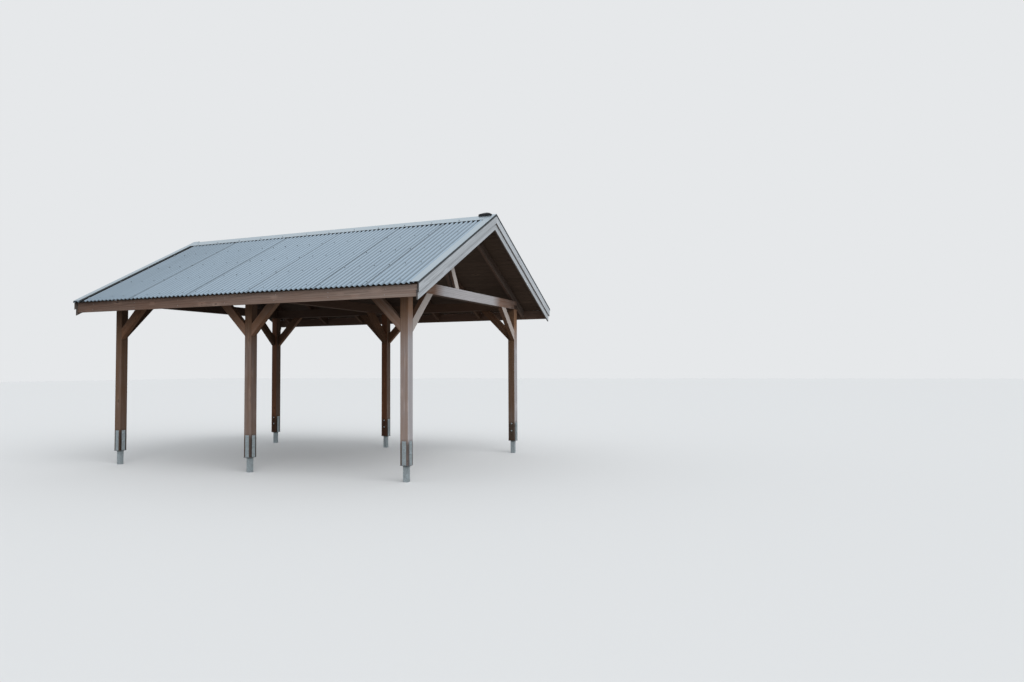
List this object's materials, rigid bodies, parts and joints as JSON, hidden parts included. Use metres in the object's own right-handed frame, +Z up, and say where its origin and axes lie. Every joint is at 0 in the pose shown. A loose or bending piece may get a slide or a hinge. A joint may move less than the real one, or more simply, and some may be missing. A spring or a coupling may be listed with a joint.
{
  "type": "timber carport",
  "caption": "Open timber carport on posts with steel shoes, braced beams and a gable roof of corrugated steel sheets with a ridge cap and a low ridge vent.",
  "frame": {"origin": "on the ground under the middle of the roof's bounding box", "axes": "+X along the ridge towards the gable with the ridge vent, -Y out of the long front side, +Z up"},
  "size_m": [5.7824, 4.541, 3.6728],
  "materials": {
    "post_timber": "weathered glued laminated spruce, grey-brown",
    "beam_timber": "weathered sawn spruce, silver grey",
    "brace_timber": "stained spruce, orange-brown",
    "rafter_timber": "sawn spruce, dark brown",
    "board_timber": "sawn boards, dark brown",
    "fascia_timber": "weathered planed board, grey-brown",
    "verge_timber": "weathered planed board, silver grey",
    "shoe_steel": "hot-dip galvanised, dull",
    "sheet_steel": "coated steel, faded blue-grey, semi-matt",
    "flashing_steel": "coated steel, faded blue-grey, semi-matt",
    "vent_steel": "black coated steel, semi-matt"
  },
  "bodies": {
    "root": {"braces_back_left_bay": "brace_timber", "braces_back_right_bay": "brace_timber", "braces_front_left_bay": "brace_timber", "braces_front_right_bay": "brace_timber", "common_rafters_left_bay": "rafter_timber", "common_rafters_right_bay": "rafter_timber", "eave_beam_back": "beam_timber", "eave_beam_front": "beam_timber", "fascia_back": "fascia_timber", "fascia_front": "fascia_timber", "post_back_left": "post_timber", "post_back_middle": "post_timber", "post_back_right": "post_timber", "post_front_left": "post_timber", "post_front_middle": "post_timber", "post_front_right": "post_timber", "ridge_board": "rafter_timber", "ridge_cap": "flashing_steel", "ridge_vent": "vent_steel", "roof_boards_back": "board_timber", "roof_boards_front": "board_timber", "roof_sheets_back": "sheet_steel", "roof_sheets_front": "sheet_steel", "shoe_back_left": "shoe_steel", "shoe_back_middle": "shoe_steel", "shoe_back_right": "shoe_steel", "shoe_front_left": "shoe_steel", "shoe_front_middle": "shoe_steel", "shoe_front_right": "shoe_steel", "tie_beam_left": "beam_timber", "tie_beam_middle": "beam_timber", "tie_beam_right": "beam_timber", "tie_braces_left": "brace_timber", "tie_braces_middle": "brace_timber", "tie_braces_right": "brace_timber", "truss_rafters_left": "rafter_timber", "truss_rafters_middle": "rafter_timber", "truss_rafters_right": "rafter_timber", "truss_struts": "rafter_timber", "verge_board_lower_left": "verge_timber", "verge_board_lower_right": "verge_timber", "verge_board_upper_left": "verge_timber", "verge_board_upper_right": "verge_timber", "verge_flashing_left": "flashing_steel", "verge_flashing_right": "flashing_steel"}
  },
  "joints": []
}
